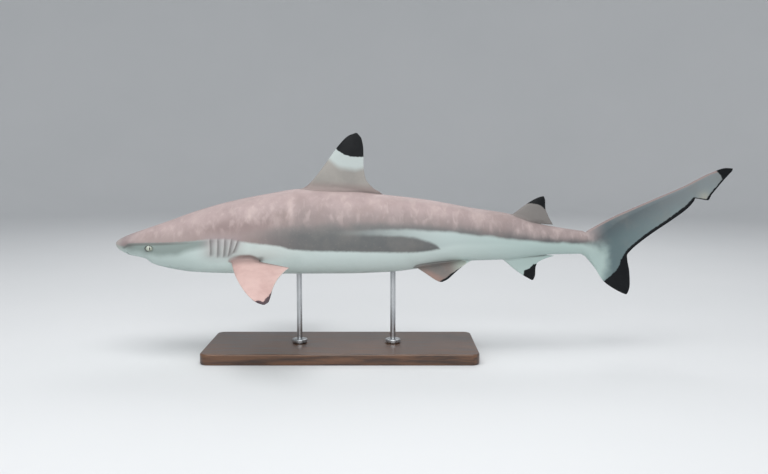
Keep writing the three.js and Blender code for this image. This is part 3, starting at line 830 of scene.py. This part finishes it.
def gill_zone(p):
    """1 over the gill slits, fading out round them."""
    x, z = p[..., 0], p[..., 2]
    middle = 248 + 0.18 * z
    across = ramp(60, 18, np.abs(x - middle))
    return across * ramp(-40, -10, z) * ramp(34, 12, z) * (np.abs(p[..., 1]) > 50)


def waist_level(x):
    """The height of the body's widest level."""
    x = np.minimum(x, TAIL_ROOT)
    return belly(x) + (back(x) - belly(x)) * waist(x)


def add_mask(mesh, name, values):
    mask = mesh.attributes.new(name, "FLOAT", "POINT")
    mask.data.foreach_set("value", values.astype(np.float32))


def make_skin(material):
    body_mesh, tree = make_body()
    fin_mesh = joined(make_fins(tree), "fins")
    mesh = united(body_mesh, fin_mesh)
    p, from_seam = smooth_seams(mesh, fin_mesh, tree)
    for name, values in skin_masks(mesh, p, tree, from_seam).items():
        add_mask(mesh, name, values)
    mesh.vertices.foreach_set("co", in_frame(p).ravel())
    mesh.materials.clear()
    mesh.materials.append(material)
    mesh.shade_smooth()
    mesh.update()
    return place_object("shark_skin", mesh)


# ---- materials


def rgb(red, green, blue):
    """A colour given as it is seen, 0 to 255, in the linear light that nodes work in."""
    def linear(v):
        v /= 255
        return v / 12.92 if v <= 0.04045 else ((v + 0.055) / 1.055) ** 2.4

    return (linear(red), linear(green), linear(blue), 1)


class Look:
    """A material and short ways to add nodes to it."""

    def __init__(self, name):
        self.material = bpy.data.materials.new(name)
        self.material.use_nodes = True
        self.tree = self.material.node_tree
        self.shader = self.tree.nodes["Principled BSDF"]
        self.place = self.add("ShaderNodeTexCoord").outputs["Object"]

    def add(self, kind, inputs=None, **settings):
        node = self.tree.nodes.new(kind)
        for key, value in settings.items():
            setattr(node, key, value)
        for key, value in (inputs or {}).items():
            self.feed(node.inputs[key], value)
        return node

    def feed(self, socket, value):
        if isinstance(value, bpy.types.NodeSocket):
            self.tree.links.new(value, socket)
        else:
            socket.default_value = value

    def set(self, **inputs):
        for key, value in inputs.items():
            self.feed(self.shader.inputs[key.replace("_", " ")], value)

    def mask(self, name):
        return self.add("ShaderNodeAttribute", attribute_name=name).outputs["Fac"]

    def math(self, operation, a, b=0.0, c=0.0):
        return self.add("ShaderNodeMath", {0: a, 1: b, 2: c}, operation=operation).outputs[0]

    def step(self, value, low, high, to_low=0.0, to_high=1.0):
        """Smoothly from to_low to to_high as value goes from low to high."""
        node = self.add("ShaderNodeMapRange", interpolation_type="SMOOTHSTEP")
        for key, v in zip(("Value", "From Min", "From Max", "To Min", "To Max"),
                          (value, low, high, to_low, to_high)):
            self.feed(node.inputs[key], v)
        return node.outputs["Result"]

    def mix(self, share, under, over):
        """A share of one colour over another. A tuple is a colour as it is seen."""
        node = self.add("ShaderNodeMix", data_type="RGBA")
        for i, value in ((0, share), (6, under), (7, over)):
            self.feed(node.inputs[i], rgb(*value) if isinstance(value, tuple) else value)
        return node.outputs[2]

    def noise(self, scale, stretch=(1, 1, 1), detail=4.0, roughness=0.5, distortion=0.0):
        mapped = self.add("ShaderNodeMapping", {"Vector": self.place, "Scale": stretch})
        inputs = {"Vector": mapped.outputs[0], "Scale": scale, "Detail": detail,
                  "Roughness": roughness, "Distortion": distortion}
        return self.add("ShaderNodeTexNoise", inputs).outputs["Fac"]

    def bump(self, height, distance, strength=1.0, under=None):
        inputs = {"Height": height, "Distance": distance, "Strength": strength}
        if under is not None:
            inputs["Normal"] = under
        return self.add("ShaderNodeBump", inputs).outputs["Normal"]


def skin_material():
    look = Look("shark_skin")
    mix, step, mask = look.mix, look.step, look.mask
    ragged = look.math("MULTIPLY_ADD", look.noise(170, detail=5), 5.0, -2.5)
    soft_noise = look.noise(34, detail=3)
    wander = look.math("MULTIPLY_ADD", soft_noise, 8.0, -4.0)
    # Noises for the painted caustic light and shade on the back.
    caustics = look.noise(12, stretch=(2.3, 1.9, 1.1), detail=4, roughness=0.55, distortion=0.15)
    blotches = look.noise(11, stretch=(1.4, 1, 1.6), detail=6, roughness=0.6)
    caustic_streak = look.noise(34, stretch=(2.1, 1.5, 0.8), detail=2, roughness=0.5, distortion=0.4)
    speckle = look.noise(260, detail=3)

    def edged(name, softness, raggedness=ragged):
        moved = look.math("ADD", mask(name), raggedness)
        return step(moved, -softness, softness)

    def times(a, b):
        return look.math("MULTIPLY", a, b)

    def tinted(colour, *layers):
        """A colour under layers (mask, its greatest share, colour), the last on top."""
        for name, share, over in layers:
            colour = mix(times(mask(name), share), colour, over)
        return colour

    def mottled(low, high, under, over, share=1.0):
        """One colour with another over it where the blotches pass from low to high."""
        return mix(step(blotches, low, high, 0.0, share), under, over)

    # The back: grey by its lower edge and rosier and lighter towards the crest, the lightening
    # partly painted light from above, with painted caustic light and shade in soft upright patches.
    flank, aft = mask("flank"), mask("aft")
    height = look.math("MULTIPLY_ADD", soft_noise, 0.2, -0.1)
    height = look.math("ADD", mask("height"), height)
    low = mix(flank, (156, 141, 138), (115, 113, 112))
    # Darker towards the tail, partly painted shade on the less lit rear.
    low = mix(aft, low, (88, 89, 90))
    middle = tinted((163, 147, 144), ("neck", 0.9, (140, 123, 121)))
    middle = mix(flank, middle, (143, 131, 129))
    high = mix(aft, (173, 155, 153), (150, 136, 134))
    # Colours by height: partly the back's own tone, partly painted light from above that lightens
    # the crest.
    low_end = look.math("MULTIPLY_ADD", aft, 0.22, 0.32)
    colour = mix(step(height, -0.05, low_end), low, middle)
    high_start = look.math("MULTIPLY_ADD", mask("neck"), 0.14, 0.2)
    colour = mix(step(height, high_start, 0.8), colour, high)
    even = times(step(height, 1.02, 0.75, 0.25, 1.0), step(height, 0.05, 0.4, 0.2, 1.0))
    # Painted caustic light and shade: light and dark patches and light upright lines, weaker at the
    # crest and the lower edge.
    for noise, start, end, share, over in ((caustics, 0.48, 0.72, 0.38, (206, 188, 184)),
                                           (caustics, 0.52, 0.28, 0.3, (126, 113, 111)),
                                           (caustic_streak, 0.5, 0.72, 0.26, (208, 190, 186))):
        colour = mix(times(step(noise, start, end, 0.0, share), even), colour, over)
    colour = mottled(0.5, 0.75, colour, (144, 127, 122), 0.35)
    strip = mottled(0.35, 0.7, (102, 104, 104), (116, 115, 113))
    in_strip = times(step(height, 0.24, -0.08), flank)
    colour = mix(times(in_strip, look.math("SUBTRACT", 1.0, aft)), colour, strip)
    colour = mix(step(speckle, 0.62, 0.75, 0.0, 0.14), colour, (196, 186, 183))
    colour = tinted(colour, ("muzzle", 0.65, (133, 122, 124)))

    # Fins on the back, darker at the foot, which is painted shade where they meet the body.
    off_body = mask("off_body")
    dorsal = mottled(0.3, 0.7, (142, 140, 135), (158, 155, 149))
    dorsal = mix(step(off_body, 24, 2), dorsal, (138, 126, 122))
    dorsal = mix(aft, dorsal, (120, 117, 114))
    colour = tinted(colour, ("dorsal", 0.95, dorsal))

    # The tail: dark under its upper edge, paler below and towards the tip; its dark tone is partly
    # painted shade.
    tail_share = mask("tail_share")
    from_top = look.math("ADD", mask("from_top"), wander)
    tail = mix(tail_share, (80, 92, 96), (130, 137, 139))
    tail_low = mix(tail_share, (90, 108, 111), (136, 147, 148))
    tail = mix(step(from_top, 12, 60), tail, tail_low)
    tail = mottled(0.45, 0.75, tail, (126, 126, 123), 0.4)
    tail = mix(step(mask("from_top"), 4.5, 1.5, 0.0, 0.8), tail, (146, 127, 123))
    tail = tinted(tail, ("notch", 0.4, (182, 174, 154)))
    colour = mix(mask("tail"), colour, tail)

    # The pale underside, and the pale stripe over the dark tongue on the flank.
    below = mask("below")
    pale = mix(mask("low"), (198, 210, 207), (203, 217, 213))
    pale = tinted(pale, ("head", 0.7, (173, 188, 184)))
    pale = mix(mask("side"), pale, (181, 193, 191))
    # Darker towards the tail, partly painted shade.
    pale = mix(aft, pale, (170, 188, 184))
    pale = mottled(0.45, 0.75, pale, (176, 190, 186), 0.3)
    off_fin = look.math("SUBTRACT", 1.0, mask("dorsal"))
    stripe = times(edged("stripe", 4.5, wander), mask("stripe_share"))
    is_below = edged("below", 3.4, times(ragged, 0.7))
    colour = mix(times(look.math("MAXIMUM", is_below, stripe), off_fin), colour, pale)

    # The cheek's grey-green zone and the thin dark line over it.
    cheek = times(edged("cheek", 9, wander), is_below)
    colour = mix(cheek, colour, (134, 146, 142))
    by_line = step(look.math("ABSOLUTE", look.math("SUBTRACT", below, 1.0)), 4.6, 0.8)
    colour = mix(times(times(by_line, mask("line_share")), 0.7), colour, (96, 98, 95))
    colour = tinted(colour, ("snout", 0.4, (200, 196, 188)), ("smudge", 0.5, (94, 90, 88)))

    # The gills: greyish between pale flaps; the pale of the flaps is a painted highlight and the
    # grey behind each slit painted shade.
    mauve = mix(step(below, 2, 24), (155, 142, 144), (158, 157, 155))
    colour = tinted(colour, ("gills", 0.65, mauve), ("gill_flap_highlight", 0.7, (188, 185, 183)),
                    ("gill_shade", 0.6, (134, 129, 129)))

    # Paired fins: rosy above with a darker root, which is painted shade, pale beneath, and painted
    # shadow on the body round their feet.
    pectoral = mottled(0.35, 0.65, (190, 157, 151), (209, 179, 172))
    # Painted shade towards the pectoral's root.
    pectoral = mix(step(off_body, 40, 3, 0.0, 0.9), pectoral, (149, 129, 125))
    colour = mix(mask("pectoral"), colour, pectoral)
    colour = tinted(colour, ("pectoral_foot_shadow", 0.5, (108, 97, 93)))
    pelvic = mottled(0.35, 0.65, (103, 104, 102), (119, 110, 106))
    pelvic = tinted(pelvic, ("pelvic_front", 0.75, (143, 116, 107)),
                    ("pelvic_rear", 0.85, (166, 174, 165)))
    colour = mix(mask("pelvic"), colour, pelvic)
    colour = mix(mask("beneath"), colour, (206, 208, 198))

    # The first dorsal's pale band, then everything black, then painted shade in the creases and
    # along the fins' seams.
    band = times(edged("band", 9, wander), mask("dorsal"))
    colour = mix(band, colour, (182, 191, 189))
    rosy = look.math("SUBTRACT", mask("pectoral"), mask("beneath"))
    black = mix(rosy, (6, 9, 13), (66, 47, 54))
    colour = mix(edged("ink", 0.9), colour, black)
    # Painted shade in the gill slits, the mouth's groove, the nostrils, round the eyes and along
    # the fins' seams.
    for name, share in (("gill_crease", 0.3), ("mouth_crease", 0.5), ("nostril_crease", 0.4),
                        ("eye_crease", 0.42), ("seam", 0.7)):
        colour = tinted(colour, (name, share, (80, 74, 72)))

    # Fine grain of the skin's scales.
    normal = look.bump(look.noise(1500, detail=2), 0.00012, 0.5)
    normal = look.bump(look.noise(90, detail=3), 0.0009, 0.3, under=normal)
    rough = step(soft_noise, 0.3, 0.7, 0.44, 0.58)
    look.set(Base_Color=colour, Roughness=rough, Normal=normal, Specular_IOR_Level=0.22)
    return look.material


def eye_material():
    look = Look("shark_eye")
    along, up = look.mask("along"), look.mask("up")

    def from_middle(half_length, half_height):
        """1 on an ellipse of this size and less inside it."""
        parts = [look.math("POWER", look.math("DIVIDE", place, half), 2.0)
                 for place, half in ((along, half_length), (up, half_height))]
        return look.math("SQRT", look.math("ADD", *parts))

    speckle = look.noise(700, detail=4)
    r = from_middle(8.6, 6.3)
    iris = look.mix(look.step(r, 0.25, 0.95), (190, 196, 178), (150, 160, 148))
    iris = look.mix(look.step(speckle, 0.42, 0.62, 0.0, 0.4), iris, (128, 134, 116))
    iris = look.mix(look.step(r, 0.9, 1.06), iris, (62, 66, 62))
    colour = look.mix(look.step(from_middle(1.3, 4.4), 1.08, 0.94), iris, (8, 9, 10))
    look.set(Base_Color=colour, Roughness=0.12, Specular_IOR_Level=0.5)
    look.set(Coat_Weight=1.0, Coat_Roughness=0.03)
    return look.material


def wood_material():
    look = Look("dark_wood")
    grain = look.noise(14, stretch=(0.7, 9, 9), detail=8, roughness=0.6)
    pores = look.noise(60, stretch=(0.5, 14, 14), detail=3)
    colour = look.mix(look.step(grain, 0.32, 0.68), (52, 33, 22), (104, 70, 46))
    colour = look.mix(look.step(pores, 0.6, 0.72, 0.0, 0.6), colour, (34, 21, 14))
    look.set(Base_Color=colour, Roughness=look.step(grain, 0.3, 0.7, 0.3, 0.42))
    look.set(Normal=look.bump(pores, 0.0004, 0.4), Coat_Weight=0.35, Coat_Roughness=0.18)
    return look.material


def steel_material(name, stretch):
    look = Look(name)
    brushing = look.noise(60, stretch=stretch, detail=6, roughness=0.7)
    smears = look.noise(18, detail=3)
    colour = look.mix(look.step(smears, 0.3, 0.7), (176, 179, 182), (198, 200, 202))
    look.set(Base_Color=colour, Metallic=1.0, Roughness=look.step(brushing, 0.3, 0.7, 0.22, 0.38))
    look.set(Normal=look.bump(brushing, 0.0001, 0.5))
    return look.material


def floor_material():
    look = Look("floor")
    colour = look.mix(look.noise(1.5, detail=2), (216, 218, 219), (222, 223, 224))
    look.set(Base_Color=colour, Roughness=0.75)
    return look.material


# ---- eyes and stand


def make_eye(side, name, material, rings=40, around=72):
    """An eyeball: a flattened ball that looks out of the side of the head."""
    lat, lon = np.meshgrid(np.linspace(0, math.pi, rings + 2)[1:-1],
                           np.arange(around) * 2 * math.pi / around, indexing="ij")
    ball = np.stack([np.sin(lat) * np.cos(lon), np.cos(lat), np.sin(lat) * np.sin(lon)], -1)
    size = np.array([EYE["length"], EYE["depth"], EYE["height"]]) / 2
    local = ball * size
    angle = -side * EYE_SLOPE
    c, s = math.cos(angle), math.sin(angle)
    ends = np.array([[0, size[1], 0], [0, -size[1], 0]])
    centre = [EYE["x"], side * (half_width(EYE["x"]) + EYE["proud"] - EYE["depth"] / 2), EYE["z"]]

    def place(q):
        x, y, z = np.moveaxis(q, -1, 0)
        return in_frame(np.stack([x * c - y * s, x * s + y * c, z], -1) + centre)

    mesh = closed_mesh(name, place(local), *place(ends))
    everything = np.vstack([local.reshape(-1, 3), ends])
    add_mask(mesh, "along", everything[:, 0])
    add_mask(mesh, "up", everything[:, 2] - 0.5)
    mesh.materials.append(material)
    mesh.shade_smooth()
    return place_object(name, mesh)


def board_mesh(name, low, high, corner=0.018, bevel=0.003, steps=8):
    """A flat board with round corners and rounded edges, as large as a box between two corners."""
    middle, half = (low + high) / 2, (high - low) / 2
    angle = np.linspace(0, math.pi / 2, steps + 1)
    rings = []
    for r, z in soft_profile(corner, low.z, high.z, bevel, steps):
        ring = []
        for quarter, (sx, sy) in enumerate(((1, 1), (-1, 1), (-1, -1), (1, -1))):
            x, y = middle.x + sx * (half.x - corner), middle.y + sy * (half.y - corner)
            ring += [[x + math.cos(a) * r, y + math.sin(a) * r, z]
                     for a in angle + quarter * math.pi / 2]
        rings.append(ring)
    return flat_ended_mesh(name, np.array(rings))


def turned_mesh(name, x, y, profile, around=64):
    """A turned piece round an upright axis: profile rows are [radius, height]."""
    angle = np.arange(around) * 2 * math.pi / around
    rings = [[[x + r * math.cos(a), y + r * math.sin(a), z] for a in angle] for r, z in profile]
    return flat_ended_mesh(name, np.array(rings))


def soft_profile(radius, low, high, round_over=0.001, steps=5):
    """A cylinder's profile with its edges rounded."""
    angle = np.linspace(0, math.pi / 2, steps + 1)
    foot = [(radius - round_over * (1 - math.sin(a)), low + round_over * (1 - math.cos(a)))
            for a in angle]
    head = [(r, low + high - z) for r, z in reversed(foot)]
    inner = radius - 1.5 * round_over
    return [(inner, low)] + foot + head + [(inner, high)]


def add_piece(name, mesh, material, nodes):
    mesh.materials.append(material)
    mesh.shade_smooth()
    piece = place_object(name, mesh)
    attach(piece, "root")
    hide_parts(*nodes)


def make_stand():
    low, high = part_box("stand_base")
    add_piece("stand_board", board_mesh("stand_board", low, high), wood_material(), ["stand_base"])
    brushed = steel_material("brushed_rod", (1, 1, 0.05))
    spun = steel_material("spun_collar", (1, 1, 1))
    for place in ("front", "rear"):
        low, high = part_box(f"stand_rod_{place}")
        x, y, radius = (low.x + high.x) / 2, (low.y + high.y) / 2, (high.x - low.x) / 2
        mesh = turned_mesh(f"rod_{place}", x, y, soft_profile(radius, low.z, high.z))
        add_piece(f"stand_post_{place}", mesh, brushed, [f"stand_rod_{place}"])
        low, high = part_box(f"stand_collar_{place}")
        outer = (high.x - low.x) / 2
        mesh = turned_mesh(f"collar_{place}", x, y, soft_profile(outer, low.z, high.z, 0.002))
        add_piece(f"stand_ring_{place}", mesh, spun, [f"stand_collar_{place}"])


# ---- studio


def make_floor(flat=4.4, bend=2, wall=4, around=96):
    """A round floor whose rim curves up into a backdrop on every side."""
    profile = [(flat * t, 0) for t in np.linspace(0.02, 1, 14)]
    profile += [(flat + bend * math.sin(a), bend * (1 - math.cos(a)))
                for a in np.linspace(0, math.pi / 2, 16)[1:]]
    profile.append((flat + bend, wall))
    mesh = bpy.data.meshes.new("floor")
    angle = np.arange(around) * 2 * math.pi / around
    points = [(r * math.cos(a), r * math.sin(a), z) for r, z in profile for a in angle]
    mesh.from_pydata(points, [], ring_quads(len(profile), around) + [list(range(around))])
    mesh.materials.append(floor_material())
    mesh.shade_smooth()
    floor = place_object("floor", mesh)


MIDDLE = Vector((0.1, 0, 0.25))


def add_light(name, place, size, power):
    """A rectangular lamp that faces the middle of the shark."""
    light = bpy.data.lights.new(name, "AREA")
    light.shape, light.size, light.size_y = "RECTANGLE", *size
    light.energy = power
    made = place_object(name, light)
    made.location = place
    made.rotation_euler = (MIDDLE - Vector(place)).to_track_quat("-Z", "Y").to_euler()


def add_camera(target, distance, elevation, lens):
    camera = place_object("camera", bpy.data.cameras.new("camera"))
    camera.data.lens, camera.data.sensor_width = lens, 36
    camera.data.clip_start = 0.05
    away = Vector((0, -math.cos(elevation), math.sin(elevation)))
    camera.location = Vector(target) + distance * away
    camera.rotation_euler = away.to_track_quat("Z", "Y").to_euler()
    bpy.context.scene.camera = camera


# ---- everything

flesh = [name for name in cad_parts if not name.startswith(("stand_", "eye_"))]
skin = make_skin(skin_material())
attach(skin, "root")
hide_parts(*flesh)

eye_look = eye_material()
for side, place in ((-1, "left"), (1, "right")):
    eye = make_eye(side, f"eyeball_{place}", eye_look)
    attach(eye, "root")
    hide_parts(f"eye_{place}")

make_stand()
make_floor()
add_light("key", place=(-0.3, -0.9, 2.7), size=(2.6, 1.6), power=46)
add_light("fill", place=(0.2, -2.9, 1.4), size=(3.2, 1.4), power=42)
add_light("back", place=(0.4, 2.2, 2.2), size=(2.4, 1.2), power=18)

world = bpy.data.worlds.new("studio")
world.use_nodes = True
background = world.node_tree.nodes["Background"].inputs
background["Color"].default_value = (0.93, 0.96, 1, 1)
background["Strength"].default_value = 0.52
bpy.context.scene.world = world
bpy.context.scene.view_settings.view_transform = "Standard"

add_camera(target=(0.095, 0, 0.2634), distance=1.9, elevation=math.radians(6), lens=39.94)
